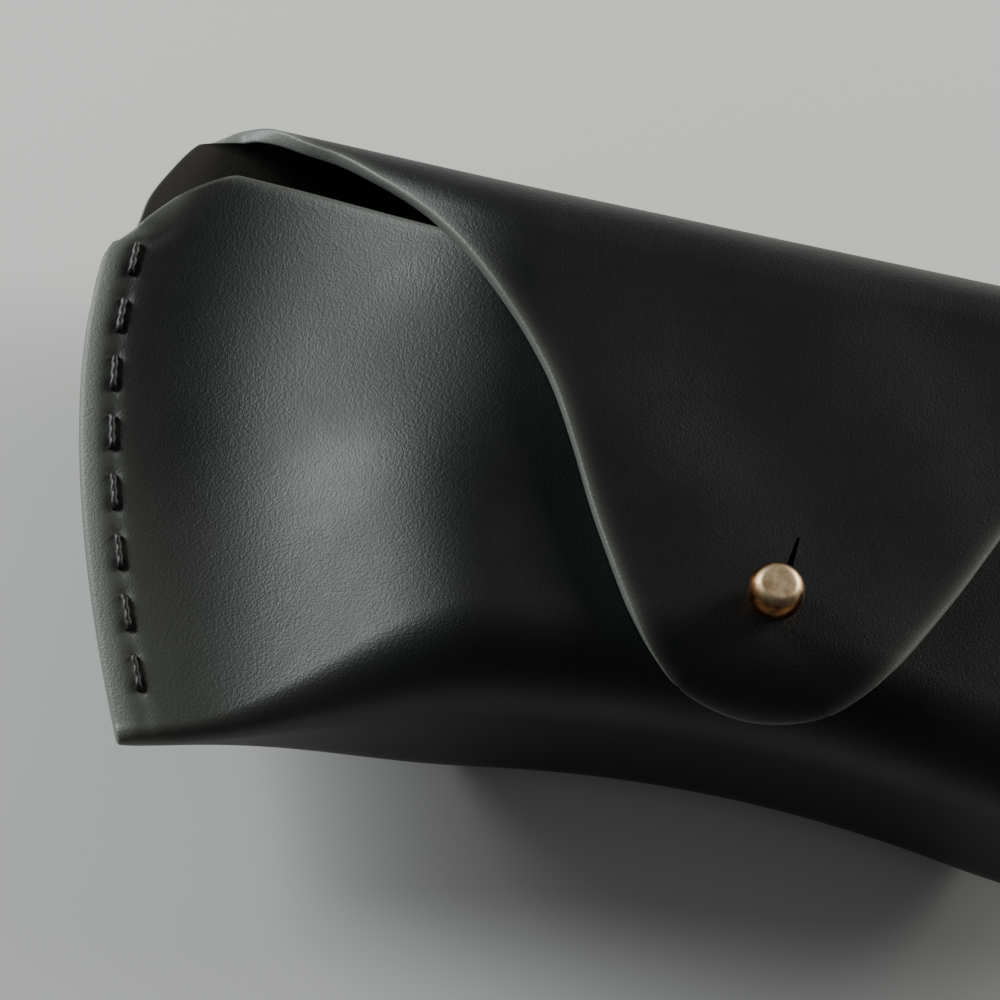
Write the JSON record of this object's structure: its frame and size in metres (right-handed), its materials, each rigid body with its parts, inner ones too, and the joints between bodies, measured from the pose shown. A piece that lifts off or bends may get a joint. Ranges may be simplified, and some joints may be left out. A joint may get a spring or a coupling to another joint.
{
  "type": "flap case",
  "caption": "Black leather flap case with flat sewn ends, a deep fold-over flap with a rounded tongue, and a brass ball stud through a keyhole.",
  "frame": {"origin": "bottom centre of the whole closed case's box, lying on its back on a table", "axes": "+Z out of the front (the way the stud points), +Y up the case from the pouch's bottom to the flap's fold, X along the width"},
  "size_m": [0.1746, 0.0817, 0.0425],
  "materials": {
    "leather": "smooth vegetable-tanned hide, dyed black, burnished edges",
    "thread": "black waxed thread",
    "stud_brass": "antiqued brass, worn bright on top"
  },
  "bodies": {
    "case": {"pouch": "leather", "flap_root_fold": "leather", "seam_thread_left": "thread", "seam_thread_right": "thread", "stud_head": "stud_brass", "stud_screw": "stud_brass"},
    "hood": {"hood": "leather", "flap_brow_fold": "leather"},
    "flap": {"flap": "leather"}
  },
  "joints": [
    {"name": "root_fold_bend", "type": "hinge", "parent": "case", "child": "hood", "pos_m": [0, 0.03368, 0.00282], "axis": [-1, 0, 0], "range_deg": [0, 90], "deforming": ["flap_root_fold"]},
    {"name": "brow_fold_bend", "type": "hinge", "parent": "hood", "child": "flap", "pos_m": [0, 0.03368, 0.03358], "axis": [-1, 0, 0], "range_deg": [0, 90], "deforming": ["flap_brow_fold"]}
  ],
  "couplings": [
    {"joint": "brow_fold_bend", "follows": "root_fold_bend", "ratio": 1}
  ]
}
